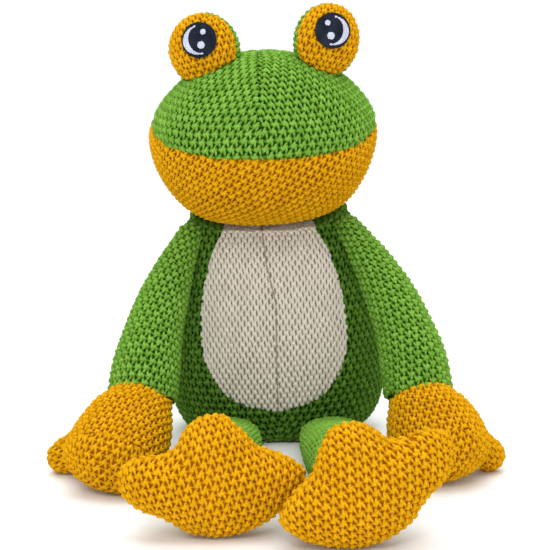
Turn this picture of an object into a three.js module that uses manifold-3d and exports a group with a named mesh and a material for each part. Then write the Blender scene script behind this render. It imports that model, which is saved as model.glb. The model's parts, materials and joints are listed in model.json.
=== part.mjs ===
// A seated, stuffed, chunky-knit frog: cut knit panels sewn into bags, each bag round its own filling.
// Millimetres, +Z up. The frog faces -Y and sits on z = 0; its right hand is on the -X side.
// The origin is the middle of the bottom of the box that bounds the whole frog.
import * as THREE from "three";
import { mergeVertices } from "three/addons/utils/BufferGeometryUtils.js";
import Module from "manifold-3d";

const wasm = await Module();
wasm.setup();

// Driving sizes, in millimetres and degrees.
const cloth = 2.5; // thickness of the chunky knit
const gap = 0.3; // air between pieces that touch
const slack = 0.15; // more air round pieces that swing
const footing = 0.5; // how far soft undersides are pressed flat on the floor
const leanAngle = 3; // the whole upper body leans to its right, -X

const torso = { height: 168, halfWidth: 69, halfDepth: 49, bellyPush: 7, backSet: 3 };
torso.widthShares = [1.2, 1.12, 1.05, 0.96, 0.89, 0.86];
torso.depthShares = [1.12, 1.08, 1.0, 0.88, 0.78, 0.72];
torso.closings = [6, 7]; // how square the bag is at its seat and at its neck
torso.square = 2.2;
torso.seatShare = 0.62; // how much of the section's width is flat at the seat

const tummy = { topHeight: 172, bottomHeight: 23.5, halfWidth: 48, cutDepth: 120 };
tummy.heightShares = [0, 0.04, 0.12, 0.22, 0.34, 0.5, 0.67, 0.84, 1]; // of each row below, from the bottom up
tummy.widthShares = [0, 0.5, 0.8, 0.95, 1.0, 0.96, 0.82, 0.56, 0.36];
tummy.pointsPerRow = 2;

const neck = { radius: 26, drop: 16 };
neck.nodAngles = [-12, 0, 6];
neck.turnAngles = [-10, 0, 10];

const head = { halfWidth: 73.3, halfDepth: 60, height: 110, forward: 22, sink: 21 };
head.nodAngle = 7;
head.rollAngle = 0.2; // beyond the lean
head.widthShares = [1.03, 0.98, 0.99, 1.0, 0.95, 0.9];
head.depthShares = [0.96, 1.0, 1.02, 1.0, 0.95, 0.88];
head.closings = [3, 2]; // how square the jaw and the crown are
head.square = 2.25;
head.mouthShare = 0.588; // height of the mouth seam above the chin
head.mouthTilt = 11; // forwards, beyond the nod
head.mouthRoll = -2.6;
head.jawBack = 12; // how far behind the head's middle the jaw panel ends

const eye = { halfHeight: 24, halfDepth: 15 };
eye.forward = 4;
eye.splayAngle = 15;
eye.liftAngle = 8;
eye.outwardAngle = 5;
eye.seamForward = 4; // the seam of the eye's two panels, in front of its middle
eye.closing = 2.3;

const pupil = { radius: 11.3, thick: 0.8, rise: 6.5 };
const glint = { thick: 0.7, large: 2.6, small: 1.8 };
glint.largeDrop = 4;
glint.smallRise = 5;
glint.inward = 1.6;
const crescent = { radius: 9.8, width: 3.2, tipWidth: 0.6, halfAngle: 76 };

const arm = { halfWidth: 22, shoulderRadius: 9 };
arm.shoulderShares = [0.79, 0.531, 0.823]; // of the torso's half width, half depth and height
arm.widthShares = [0.4, 0.58, 0.74, 0.85, 0.97, 1.0];
arm.forwardBow = 14;
arm.raiseAngles = [0, 55];

const hand = { halfWidth: 30, halfDepth: 22, wristRadius: 19.5, wristHeight: 47, cuff: 5 };
hand.mouth = 12; // how far above the wrist the hand's bag is open
hand.heel = 17; // height of the round end past the palm
hand.widthShares = [0.65, 0.86, 1.0, 1.02];
hand.depthShares = [0.886, 1.03, 1.04, 1.0];
hand.bendAngles = [-25, 0, 25];
const thumb = { radius: 11.5, startRise: 33, tipRise: 10.5 };
thumb.widthShares = [1.1, 1.12, 1.0, 0.95];
thumb.rootShare = 0.74; // how far its root lies from the wrist towards the palm
thumb.bendShare = 0.75; // of its rise at the start, halfway along

const leg = { radius: 24.5, hipRadius: 10.5 };
leg.hipShares = [0.507, 1.0]; // of the torso's half width and half depth
leg.mouth = 6; // how far behind the hip the leg's bag is open
leg.widthShares = [0.9, 0.96, 1.0, 1.0, 0.96, 0.84];
leg.depthShares = [0.429, 0.48, 0.6, 0.76, 0.88, 0.84]; // flat where it is sewn on at the hip
leg.liftAngles = [0, 20];
leg.followShare = 0.35; // how far the ankle follows its foot sideways

const foot = { radius: 52, halfDepth: 17.5, tiltAngle: 8, ankleRadius: 20.6, ankleBack: 19, ankleRise: 2 };
foot.closing = 2.4;
// Outline of the three-toed foot, a share of its radius every 15 degrees: from the outer toe's tip
// over the middle toe and the inner toe, and back round the heel.
foot.outlineShares = [
  1.0, 0.95, 0.63, 0.53, 0.58, 0.65, 0.69, 0.7, 0.64, 0.6, 0.62, 0.8,
  1.0, 0.93, 0.82, 0.73, 0.68, 0.64, 0.625, 0.615, 0.625, 0.63, 0.7, 0.88,
];

// Where each side's eye was sewn on, and where its hand and foot were set down. The frog's right is -X.
const right = { sign: -1, wristSpread: 84.5, wristReach: 98, palmSpread: 99.5, palmReach: 145 };
right.armBow = 10; // how far the arm bows outwards
right.thumbSpread = 132.8;
right.thumbReach = 104;
right.footSpread = 37;
right.footReach = 216;
right.rollAngle = -4;
right.yawAngle = -4;
const left = { sign: 1, wristSpread: 86, wristReach: 90, palmSpread: 98, palmReach: 126 };
left.armBow = 17.5;
left.thumbSpread = 128.6;
left.thumbReach = 99;
left.footSpread = 47;
left.footReach = 231;
left.rollAngle = 20;
left.yawAngle = 8;
right.eyeHalfWidth = 23;
right.eyeShares = [0.461, 1.026]; // of the head's half width and height
right.pupilOutward = -0.7; // from the eye's middle
left.eyeHalfWidth = 21.2;
left.eyeShares = [0.591, 1.041];
left.pupilOutward = 1.0;
const sides = { right, left };

// Faces round and along each form: outer skins are finer than what hides inside.
const fine = { around: 16, along: 8, cap: 3 };
const coarse = { around: 10, along: 4, cap: 2 };
const ballFaces = 20;
const overrun = 400; // cutters reach this far past what they cut
const settlePasses = 4;
const weld = 0.02; // corners of a cut piece that are closer than this become one

const colours = {
  green: 0x5da532,
  yellow: 0xf0ae08,
  cream: 0xd9cfc2,
  black: 0x17171f,
  white: 0xdcdff0,
  filling: 0xf2f0ea,
};
const material = Object.fromEntries(
  Object.entries(colours).map(([name, color]) => [
    name,
    new THREE.MeshStandardMaterial({ color, roughness: 0.9, metalness: 0 }),
  ]),
);

const radians = THREE.MathUtils.degToRad;
const vector = (x, y, z) => new THREE.Vector3(x, y, z);

// A smooth curve through evenly spaced values, read at a share from 0 to 1.
function smooth(values, share, closed = false) {
  const spans = closed ? values.length : values.length - 1;
  const at = THREE.MathUtils.clamp(share, 0, 1) * spans;
  const i = Math.min(Math.floor(at), spans - 1);
  const t = at - i;
  const pick = (k) =>
    closed
      ? values[(k + values.length) % values.length]
      : values[THREE.MathUtils.clamp(k, 0, values.length - 1)];
  const [a, b, c, d] = [pick(i - 1), pick(i), pick(i + 1), pick(i + 2)];
  return b + (t * (c - a + t * (2 * a - 5 * b + 4 * c - d + t * (3 * (b - c) + d - a)))) / 2;
}

const signedPower = (x, power) => Math.sign(x) * Math.abs(x) ** power;

// A closed solid from rings of points and the two poles that close them.
function solidFromRings(rings, firstPole, lastPole) {
  const sides = rings[0].length;
  const points = [firstPole, ...rings.flat(), lastPole];
  const last = points.length - 1;
  const index = [];
  for (let k = 0; k < sides; k++) {
    const next = (k + 1) % sides;
    index.push(0, 1 + next, 1 + k);
    for (let r = 0; r + 1 < rings.length; r++) {
      const low = 1 + r * sides;
      const high = low + sides;
      index.push(low + k, low + next, high + next, low + k, high + next, high + k);
    }
    const top = 1 + (rings.length - 1) * sides;
    index.push(last, top + k, top + next);
  }
  const geometry = new THREE.BufferGeometry().setFromPoints(points);
  geometry.setIndex(index);
  return toSolid(geometry);
}

function toSolid(geometry) {
  const bare = geometry.clone();
  bare.deleteAttribute("normal");
  bare.deleteAttribute("uv");
  const merged = mergeVertices(bare, 1e-4);
  return new wasm.Manifold(
    new wasm.Mesh({
      numProp: 3,
      vertProperties: merged.attributes.position.array,
      triVerts: new Uint32Array(merged.index.array),
    }),
  );
}

// The ring of a bag's section at one place on its line, with half its width and depth.
function section(centre, tangent, side, halfWidth, halfDepth, square, count) {
  const across = side.clone().addScaledVector(tangent, -side.dot(tangent)).normalize();
  const ahead = tangent.clone().cross(across);
  return Array.from({ length: count }, (_, k) => {
    const angle = (2 * Math.PI * k) / count;
    return centre
      .clone()
      .addScaledVector(across, halfWidth * signedPower(Math.cos(angle), 2 / square))
      .addScaledVector(ahead, halfDepth * signedPower(Math.sin(angle), 2 / square));
  });
}

// A stuffed bag along a curved line. Its section swells by the shares, and both ends close squarely.
// A seat, if any, is a flat level start.
function bolster(bag, faces, grow = 0) {
  const { from, bend, to, side, width, depth, widthShares, depthShares, closings, square, seatShare } = bag;
  const unit = to.clone().sub(from).normalize();
  const path = new THREE.QuadraticBezierCurve3(
    from.clone().addScaledVector(unit, -grow),
    bend,
    to.clone().addScaledVector(unit, grow),
  );
  const rings = [];
  if (seatShare) {
    const halfWidth = (width * widthShares[0] + grow) * seatShare;
    const halfDepth = (depth * depthShares[0] + grow) * seatShare;
    rings.push(section(path.getPoint(0), vector(0, 0, 1), side, halfWidth, halfDepth, square, faces.around));
  }
  for (let r = 1; r < faces.along; r++) {
    const turn = (Math.PI * r) / faces.along;
    const share = (1 - Math.cos(turn)) / 2;
    const close = Math.sin(turn) ** (2 / THREE.MathUtils.lerp(...closings, share));
    const halfWidth = (width * smooth(widthShares, share) + grow) * close;
    const halfDepth = (depth * smooth(depthShares, share) + grow) * close;
    const tangent = path.getTangent(share);
    rings.push(section(path.getPoint(share), tangent, side, halfWidth, halfDepth, square, faces.around));
  }
  return solidFromRings(rings, path.getPoint(0), path.getPoint(1));
}

// A stuffed limb along a curved line, with a round cap past each end.
function limb({ from, bend, to, side, width, depth, widthShares, depthShares, caps }, faces, grow = 0) {
  const path = new THREE.QuadraticBezierCurve3(from, bend, to);
  const rings = [];
  const addRing = (share, past, close) => {
    const tangent = path.getTangent(share);
    const centre = path.getPoint(share).addScaledVector(tangent, past);
    const halfWidth = (width * smooth(widthShares, share) + grow) * close;
    const halfDepth = (depth * smooth(depthShares ?? widthShares, share) + grow) * close;
    rings.push(section(centre, tangent, side, halfWidth, halfDepth, 2, faces.around));
  };
  const [start, end] = caps.map((cap) => cap + grow);
  for (let r = 1; r < faces.cap; r++) {
    const turn = (Math.PI / 2) * (r / faces.cap);
    addRing(0, -start * Math.cos(turn), Math.sin(turn));
  }
  for (let r = 0; r <= faces.along; r++) addRing(r / faces.along, 0, 1);
  for (let r = faces.cap - 1; r > 0; r--) {
    const turn = (Math.PI / 2) * (r / faces.cap);
    addRing(1, end * Math.cos(turn), Math.sin(turn));
  }
  const pole = (share, past) => path.getPoint(share).addScaledVector(path.getTangent(share), past);
  return solidFromRings(rings, pole(0, -start), pole(1, end));
}

// A flat stuffed shape: an outline in the local XZ plane, puffed out along local Y, then put in place.
function pillow({ outline, halfDepth, closing, matrix }, faces, grow = 0) {
  const place = (x, y, z) => vector(x, y, z).applyMatrix4(matrix);
  const rings = [];
  for (let r = 1; r < faces.along; r++) {
    const turn = (Math.PI * r) / faces.along;
    const depth = (halfDepth + grow) * -Math.cos(turn);
    const close = Math.sin(turn) ** (2 / closing);
    rings.push(
      Array.from({ length: faces.around }, (_, k) => {
        const angle = (2 * Math.PI * k) / faces.around;
        const [x, z] = outline(angle, grow);
        return place(x * close, depth, z * close);
      }).reverse(),
    );
  }
  return solidFromRings(rings, place(0, -halfDepth - grow, 0), place(0, halfDepth + grow, 0));
}

function ball(centre, radius) {
  const geometry = new THREE.SphereGeometry(radius, ballFaces, ballFaces / 2);
  geometry.rotateX(Math.PI / 2);
  geometry.translate(centre.x, centre.y, centre.z);
  return toSolid(geometry);
}

// Room for a round end: a ball whose flat faces still clear the round end by the gap.
function socket(centre, radius) {
  return ball(centre, (radius + gap) / Math.cos(Math.PI / ballFaces) ** 2);
}

// All that a form sweeps when it swings about a pivot, from three of its places.
function swept(form, pivot, axis, angles) {
  return angles
    .map((angle) => {
      const swing = new THREE.Matrix4()
        .makeTranslation(pivot)
        .multiply(new THREE.Matrix4().makeRotationAxis(axis, radians(angle)))
        .multiply(new THREE.Matrix4().makeTranslation(pivot.clone().negate()));
      return form.transform(swing.elements);
    })
    .reduce((all, one) => all.add(one));
}

// A box from one corner to the other, then put in place.
function block(low, high, matrix = new THREE.Matrix4()) {
  const size = high.clone().sub(low);
  const geometry = new THREE.BoxGeometry(size.x, size.y, size.z);
  geometry.translate(...low.clone().add(high).divideScalar(2).toArray());
  geometry.applyMatrix4(matrix);
  return toSolid(geometry);
}

// A prism of a flat outline, along local Y from one depth to another, then put in place.
function prism(points, nearDepth, farDepth, matrix = new THREE.Matrix4()) {
  const shape = new THREE.Shape(points.map(([x, z]) => new THREE.Vector2(x, z)));
  const geometry = new THREE.ExtrudeGeometry(shape, {
    depth: farDepth - nearDepth,
    bevelEnabled: false,
    steps: 1,
  });
  geometry.translate(0, 0, -farDepth);
  geometry.rotateX(Math.PI / 2);
  geometry.applyMatrix4(matrix);
  return toSolid(geometry);
}

function circlePoints(radius, x, z, count) {
  return Array.from({ length: count }, (_, k) => {
    const angle = (2 * Math.PI * k) / count;
    return [x + radius * Math.cos(angle), z + radius * Math.sin(angle)];
  });
}

// A moon that hugs one side of a circle, with blunt tips.
function crescentPoints(sign, x, z) {
  const edge = (inner) =>
    Array.from({ length: coarse.around + 1 }, (_, k) => {
      const share = (2 * k) / coarse.around - 1;
      const angle = radians(crescent.halfAngle * share);
      const width = THREE.MathUtils.lerp(crescent.width, crescent.tipWidth, share * share);
      const radius = crescent.radius - (inner ? width : 0);
      return [x + sign * radius * Math.cos(angle), z + radius * Math.sin(angle)];
    });
  return [...edge(false), ...edge(true).reverse()];
}

function turned(position, { x = 0, y = 0, z = 0 }, order = "ZXY") {
  const euler = new THREE.Euler(radians(x), radians(y), radians(z), order);
  return new THREE.Matrix4().makeRotationFromEuler(euler).setPosition(position);
}

const belowFloor = block(vector(-overrun, -overrun, -overrun), vector(overrun, overrun, 0));

// Lowers or raises one point of a form until the form's underside is pressed flat by the footing.
function settle(point, form) {
  for (let pass = 0; pass < settlePasses; pass++) point.z -= form().boundingBox().min[2] + footing;
}

const less = (solid, cuts) => cuts.reduce((left, cutter) => left.subtract(cutter), solid);

// The skin and the filling of a stuffed form, each less its cuts.
function stuffed(form, cuts, fillingCuts = cuts) {
  return {
    skin: less(form(fine).subtract(form(coarse, -cloth)), cuts),
    filling: less(form(coarse, -cloth - gap), fillingCuts),
  };
}

// Torso
const lean = turned(vector(0, 0, 0), { y: -leanAngle });
const leaning = (x, y, z) => vector(x, y, z).applyMatrix4(lean);
const torsoForm = (faces, grow) =>
  bolster(
    {
      from: vector(0, 0, -footing),
      bend: leaning(0, -torso.bellyPush, torso.height / 2),
      to: leaning(0, torso.backSet, torso.height),
      side: vector(1, 0, 0),
      width: torso.halfWidth,
      depth: torso.halfDepth,
      widthShares: torso.widthShares,
      depthShares: torso.depthShares,
      closings: torso.closings,
      square: torso.square,
      seatShare: torso.seatShare,
    },
    faces,
    grow,
  );

// Head
const neckCentre = leaning(0, torso.backSet, torso.height - neck.drop);
const chin = leaning(0, -head.forward, torso.height - head.sink);
const headPlace = turned(chin, { x: head.nodAngle, y: -leanAngle - head.rollAngle });
const inHead = (x, y, z) => vector(x, y, z).applyMatrix4(headPlace);
const headForm = (faces, grow) =>
  bolster(
    {
      from: inHead(0, 0, 0),
      bend: inHead(0, 0, head.height / 2),
      to: inHead(0, 0, head.height),
      side: vector(1, 0, 0).transformDirection(headPlace),
      width: head.halfWidth,
      depth: head.halfDepth,
      widthShares: head.widthShares,
      depthShares: head.depthShares,
      closings: head.closings,
      square: head.square,
    },
    faces,
    grow,
  );

// Eyes
function eyeFrame({ sign, eyeShares }) {
  const position = vector(sign * eyeShares[0] * head.halfWidth, -eye.forward, eyeShares[1] * head.height);
  const angles = { x: -eye.liftAngle, y: sign * eye.splayAngle, z: sign * eye.outwardAngle };
  return headPlace.clone().multiply(turned(position, angles));
}

// The pieces are gathered by the body that they move with.
const frog = new THREE.Group();
const bodies = {};
function body(name, pivot) {
  const group = new THREE.Group();
  group.position.copy(pivot);
  bodies[name] = group;
  frog.add(group);
}
function add(bodyName, name, solid, look) {
  const { numProp, numVert, vertProperties, triVerts } = solid.getMesh();
  const group = bodies[bodyName];
  const positions = new Float32Array(numVert * 3);
  for (let i = 0; i < numVert; i++) {
    positions.set(vertProperties.subarray(i * numProp, i * numProp + 3), i * 3);
  }
  let geometry = new THREE.BufferGeometry();
  geometry.setAttribute("position", new THREE.BufferAttribute(positions, 3));
  geometry.setIndex(new THREE.BufferAttribute(triVerts, 1));
  geometry = mergeVertices(geometry, weld);
  const corners = geometry.index.array;
  const kept = [];
  for (let i = 0; i < corners.length; i += 3) {
    const [a, b, c] = corners.subarray(i, i + 3);
    if (a !== b && b !== c && c !== a) kept.push(a, b, c);
  }
  geometry.setIndex(kept);
  geometry.translate(...group.position.clone().negate().toArray());
  geometry.computeVertexNormals();
  const mesh = new THREE.Mesh(geometry, look);
  mesh.name = name;
  group.add(mesh);
}

body("torso", vector(0, 0, 0));
body("neck", neckCentre);
body("head", neckCentre);

// Limbs: first their forms, because the torso has to make room for the joints.
const sideways = vector(1, 0, 0);
const raising = vector(-1, 0, 0);
const upwards = vector(0, 0, 1);
const limbs = Object.entries(sides).map(([side, s]) => {
  const [outwards, forwards, up] = arm.shoulderShares;
  const shoulder = leaning(
    s.sign * outwards * torso.halfWidth,
    -forwards * torso.halfDepth,
    up * torso.height,
  );
  const wrist = vector(s.sign * s.wristSpread, -s.wristReach, hand.wristHeight);
  const palm = vector(s.sign * s.palmSpread, -s.palmReach, hand.heel);
  const hipSpread = leg.hipShares[0] * torso.halfWidth;
  const hip = vector(s.sign * hipSpread, -leg.hipShares[1] * torso.halfDepth, leg.hipRadius - footing);

  const footAngles = { x: -foot.tiltAngle, y: -s.rollAngle * s.sign, z: s.yawAngle * s.sign };
  const footTurn = turned(vector(0, 0, 0), footAngles);
  const footOutline = (angle, grow) => {
    const fromOuterToe = s.sign > 0 ? angle : (3 * Math.PI - angle) % (2 * Math.PI);
    const radius = foot.radius * smooth(foot.outlineShares, fromOuterToe / (2 * Math.PI), true) + grow;
    return [radius * Math.cos(angle), radius * Math.sin(angle)];
  };
  const loose = { outline: footOutline, halfDepth: foot.halfDepth, closing: foot.closing, matrix: footTurn };
  const toes = { ...fine, around: foot.outlineShares.length };
  const lowest = pillow(loose, toes).boundingBox().min[2];
  const footPlace = footTurn.clone();
  footPlace.setPosition(s.sign * s.footSpread, -s.footReach, -lowest - footing);
  const ankle = vector(
    s.sign * THREE.MathUtils.lerp(hipSpread, s.footSpread, leg.followShare),
    -s.footReach + foot.ankleBack,
    -lowest - footing + foot.ankleRise,
  );
  const elbow = shoulder.clone().lerp(wrist, 0.5);
  elbow.add(vector(s.sign * s.armBow, -arm.forwardBow, 0));

  const mitten = (faces, grow = 0) =>
    limb(
      {
        from: wrist,
        bend: wrist.clone().lerp(palm, 0.5),
        to: palm,
        side: sideways,
        width: hand.halfWidth,
        depth: hand.halfDepth,
        widthShares: hand.widthShares,
        depthShares: hand.depthShares,
        caps: [hand.wristRadius, hand.heel],
      },
      { ...faces, along: faces.cap },
      grow,
    );
  settle(palm, () => mitten(fine));
  const thumbRoot = wrist.clone().lerp(palm, thumb.rootShare);
  thumbRoot.set(palm.x, thumbRoot.y, thumb.startRise);
  const thumbTip = vector(s.sign * s.thumbSpread, -s.thumbReach, thumb.tipRise);
  const thumbBend = thumbRoot.clone().lerp(thumbTip, 0.5).setZ(thumb.startRise * thumb.bendShare);

  return {
    side,
    s,
    shoulder,
    wrist,
    hip,
    ankle,
    footPlace,
    forearm: wrist.clone().sub(elbow),
    arm: (faces, grow = 0) =>
      limb(
        {
          from: shoulder,
          bend: elbow,
          to: wrist,
          side: sideways,
          width: arm.halfWidth,
          depth: arm.halfWidth,
          widthShares: arm.widthShares,
          caps: [arm.shoulderRadius, hand.wristRadius],
        },
        faces,
        grow,
      ),
    hand: (faces, grow = 0) =>
      mitten(faces, grow).add(
        limb(
          {
            from: thumbRoot,
            bend: thumbBend,
            to: thumbTip,
            side: vector(0, 1, 0),
            width: thumb.radius,
            depth: thumb.radius,
            widthShares: thumb.widthShares,
            caps: [thumb.radius, thumb.radius],
          },
          coarse,
          grow,
        ),
      ),
    leg: (faces, grow = 0) =>
      limb(
        {
          from: hip,
          bend: hip.clone().lerp(ankle, 0.5),
          to: ankle,
          side: sideways,
          width: leg.radius,
          depth: leg.radius,
          widthShares: leg.widthShares,
          depthShares: leg.depthShares,
          caps: [leg.hipRadius, foot.ankleRadius],
        },
        faces,
        grow,
      ),
    foot: (faces, grow) => pillow({ ...loose, matrix: footPlace }, { ...faces, around: toes.around }, grow),
  };
});

// Torso panels
const nodding = swept(headForm(fine, gap), neckCentre, sideways, neck.nodAngles);
const torsoCuts = [
  belowFloor,
  swept(nodding, neckCentre, upwards, neck.turnAngles),
  socket(neckCentre, neck.radius),
  ...limbs.map((l) => swept(l.arm(fine, gap + slack), l.shoulder, raising, arm.raiseAngles)),
  ...limbs.map((l) => swept(l.leg(fine, gap + slack), l.hip, raising, leg.liftAngles)),
];
const torsoParts = stuffed(torsoForm, torsoCuts);
const tummyRows = tummy.widthShares.length * tummy.pointsPerRow;
const tummyEdge = (sign, room) =>
  Array.from({ length: tummyRows + 1 }, (_, k) => {
    const share = k / tummyRows;
    const height = smooth(tummy.heightShares, share);
    const z = THREE.MathUtils.lerp(tummy.bottomHeight - room, tummy.topHeight + room, height);
    return [sign * (tummy.halfWidth * smooth(tummy.widthShares, share) + room), z];
  });
const tummyOutline = (room) => [...tummyEdge(1, room), ...tummyEdge(-1, room).reverse()];
const tummyHole = prism(tummyOutline(gap), -tummy.cutDepth, 0, lean);
const tummyPatch = prism(tummyOutline(0), -tummy.cutDepth, 0, lean);
const half = (sign, matrix) =>
  sign > 0
    ? block(vector(gap / 2, -overrun, -overrun), vector(overrun, overrun, overrun), matrix)
    : block(vector(-overrun, -overrun, -overrun), vector(-gap / 2, overrun, overrun), matrix);
for (const { side, s } of limbs) {
  const ownHalf = torsoParts.skin.intersect(half(s.sign, lean));
  add("torso", `torso_${side}_panel`, ownHalf.subtract(tummyHole), material.green);
  add("torso", `tummy_${side}_panel`, ownHalf.intersect(tummyPatch), material.cream);
}
add("torso", "torso_filling", torsoParts.filling, material.filling);
add("neck", "neck_filling", ball(neckCentre, neck.radius), material.filling);

// Head panels
const headParts = stuffed(headForm, [socket(neckCentre, neck.radius)]);
const mouthLevel = vector(0, 0, head.mouthShare * head.height);
const mouthTurn = turned(mouthLevel, { x: head.mouthTilt, y: -head.mouthRoll });
const mouth = headPlace.clone().multiply(mouthTurn);
const jawRoom = (room) =>
  block(vector(-overrun, -overrun, -overrun), vector(overrun, head.jawBack + room, room), mouth);
add("head", "jaw_panel", headParts.skin.intersect(jawRoom(0)), material.yellow);
for (const { side, s } of limbs) {
  const crown = headParts.skin.subtract(jawRoom(gap)).intersect(half(s.sign, headPlace));
  add("head", `crown_${side}_panel`, crown, material.green);
}
add("head", "head_filling", headParts.filling, material.filling);

// Eyes, with their embroidered patches
const headWall = headForm(fine, gap);
for (const { side, s } of limbs) {
  const matrix = eyeFrame(s);
  const outline = (angle, grow) => [
    (s.eyeHalfWidth + grow) * Math.cos(angle),
    (eye.halfHeight + grow) * Math.sin(angle),
  ];
  const form = (faces, grow) =>
    pillow({ outline, halfDepth: eye.halfDepth, closing: eye.closing, matrix }, faces, grow);
  const eyeParts = stuffed(form, [headWall]);
  const front = (room) =>
    block(vector(-overrun, -overrun, -overrun), vector(overrun, -eye.seamForward - room, overrun), matrix);
  add("head", `eye_${side}_front`, eyeParts.skin.intersect(front(gap)), material.yellow);
  add("head", `eye_${side}_back`, eyeParts.skin.subtract(front(0)), material.green);
  add("head", `eye_${side}_filling`, eyeParts.filling, material.filling);

  const layer = (points, low, high) =>
    form(fine, high).subtract(form(fine, low)).intersect(prism(points, -overrun, 0, matrix));
  const [x, z] = [s.sign * s.pupilOutward, pupil.rise];
  const pupilTop = gap + pupil.thick;
  const disc = layer(circlePoints(pupil.radius, x, z, fine.around), gap, pupilTop);
  add("head", `eye_${side}_pupil`, disc, material.black);
  const white = (points) => layer(points, pupilTop + gap, pupilTop + gap + glint.thick);
  const dot = (radius, dx, dz) => circlePoints(radius, x + dx, z + dz, coarse.around);
  const large = white(dot(glint.large, (-s.sign * glint.inward) / 2, -glint.largeDrop));
  const small = white(dot(glint.small, -s.sign * glint.inward, glint.smallRise));
  add("head", `eye_${side}_glint_large`, large, material.white);
  add("head", `eye_${side}_glint_small`, small, material.white);
  add("head", `eye_${side}_crescent`, white(crescentPoints(s.sign, x, z)), material.white);
}

// Arms, hands, legs and feet
for (const l of limbs) {
  const { side } = l;
  body(`arm_${side}`, l.shoulder);
  body(`hand_${side}`, l.wrist);
  body(`leg_${side}`, l.hip);
  body(`foot_${side}`, l.ankle);

  const cuff = farSide(l.wrist, l.forearm, -hand.cuff);
  const sleeveEnd = farSide(l.wrist, l.forearm, -hand.wristRadius - gap);
  const bending = swept(l.hand(fine, gap + slack), l.wrist, raising, hand.bendAngles);
  const sleeve = stuffed(l.arm, [socket(l.wrist, hand.wristRadius), cuff, bending], [sleeveEnd, bending]);
  add(`arm_${side}`, `sleeve_${side}`, sleeve.skin, material.green);
  add(`arm_${side}`, `sleeve_${side}_filling`, sleeve.filling, material.filling);

  const openCuff = farSide(l.wrist, l.forearm.clone().negate(), hand.mouth);
  const mitten = stuffed(l.hand, [belowFloor, openCuff]);
  add(`hand_${side}`, `hand_${side}_skin`, mitten.skin, material.yellow);
  add(`hand_${side}`, `hand_${side}_filling`, mitten.filling, material.filling);

  const openHip = farSide(l.hip, l.hip.clone().sub(l.ankle), leg.mouth);
  const trouser = stuffed(l.leg, [belowFloor, openHip]);
  add(`leg_${side}`, `leg_${side}_skin`, trouser.skin, material.green);
  add(`leg_${side}`, `leg_${side}_filling`, trouser.filling, material.filling);

  const shoe = stuffed(l.foot, [belowFloor, socket(l.ankle, foot.ankleRadius + slack)]);
  const front = (room) =>
    block(vector(-overrun, -overrun, -overrun), vector(overrun, -room, overrun), l.footPlace);
  add(`foot_${side}`, `foot_${side}_sole`, shoe.skin.intersect(front(gap)), material.yellow);
  add(`foot_${side}`, `foot_${side}_top`, shoe.skin.subtract(front(0)), material.yellow);
  add(`foot_${side}`, `foot_${side}_filling`, shoe.filling, material.filling);
}

// All that lies further along a direction than a point, by an offset.
function farSide(point, direction, offset) {
  const turn = new THREE.Quaternion().setFromUnitVectors(vector(0, 0, 1), direction.clone().normalize());
  const matrix = new THREE.Matrix4().makeRotationFromQuaternion(turn).setPosition(point);
  return block(vector(-overrun, -overrun, offset), vector(overrun, overrun, overrun), matrix);
}

// The frog is set down with the middle of its bounding box over the origin.
const bounds = new THREE.Box3().setFromObject(frog);
const middle = bounds.getCenter(vector(0, 0, 0)).setZ(0);
for (const group of Object.values(bodies)) group.position.sub(middle);

export default frog;
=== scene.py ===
import bpy
import json
import math
import numpy as np
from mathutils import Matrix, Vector


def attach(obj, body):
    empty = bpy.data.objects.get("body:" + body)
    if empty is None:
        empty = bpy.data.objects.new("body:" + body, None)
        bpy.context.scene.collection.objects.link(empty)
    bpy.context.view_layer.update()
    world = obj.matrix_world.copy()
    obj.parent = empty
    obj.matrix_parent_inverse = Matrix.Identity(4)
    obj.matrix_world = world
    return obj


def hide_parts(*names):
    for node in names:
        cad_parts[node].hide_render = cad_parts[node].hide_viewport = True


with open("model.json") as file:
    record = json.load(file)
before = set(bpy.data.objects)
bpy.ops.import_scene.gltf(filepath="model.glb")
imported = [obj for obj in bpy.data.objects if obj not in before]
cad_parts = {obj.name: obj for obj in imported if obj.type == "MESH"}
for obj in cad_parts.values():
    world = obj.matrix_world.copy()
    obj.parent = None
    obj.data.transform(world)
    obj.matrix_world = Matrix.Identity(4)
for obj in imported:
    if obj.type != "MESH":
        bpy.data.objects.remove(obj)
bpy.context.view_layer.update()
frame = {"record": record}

MM = 0.001
# The CAD part is set down with its bounding box over the origin; the sizes below are measured
# from the middle of the seat, in millimetres, so everything is shifted by this much.
SEAT_MOUNT_SIDE = 20.0  # the first mount lies this far beside the seat's middle
seat_mount = frame["record"]["mounts"][0]["pos_m"]
SHIFT = np.array([seat_mount[0] / MM - SEAT_MOUNT_SIDE, seat_mount[1] / MM, 0.0])

TAU = 2 * math.pi
UP = np.array([0.0, 0.0, 1.0])
SIDEWAYS = np.array([1.0, 0.0, 0.0])

# Knits: stitch width and row height, yarn radius and how much it swells at each star, how far the
# loops overlap, how much their arms curl, how high the stars stand, how far one arm of a loop lies above
# the other, how far the cross strands duck between stars, how uneven the stitches are, and how far the
# yarn's middle lies below the surface of the bag.
STAR = dict(
    pitch=5.6, row=4.8, radius=0.92, swell=0.1, overlap=0.55, curl=0.6, relief=0.4, twist=0.25, duck=0.4,
    uneven=0.3, sink=1.2,
)
TORSO_STAR = dict(STAR, row=5.0)
SOFT_STAR = dict(STAR, pitch=5.4, row=4.6, relief=0.35)
EYE_KNIT = dict(STAR, pitch=5.2, row=4.3, radius=0.88, relief=0.3, sink=1.15)
TUMMY_KNIT = dict(
    STAR, pitch=4.1, row=3.45, radius=0.98, swell=0.05, overlap=0.6, curl=0.25, relief=0.2, uneven=0.2,
    sink=1.1,
)
SHADE_LOOP_BELOW, SHADE_STRAND_BELOW = -0.6, -0.3  # yarn lies low between stars where the star wave is below these, and there takes the darker low yarn as painted shade
BACK = 2  # a panel's materials are raised yarn, low yarn darkened as painted shade, and backing darkened as painted shade; this is the backing's number
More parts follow.
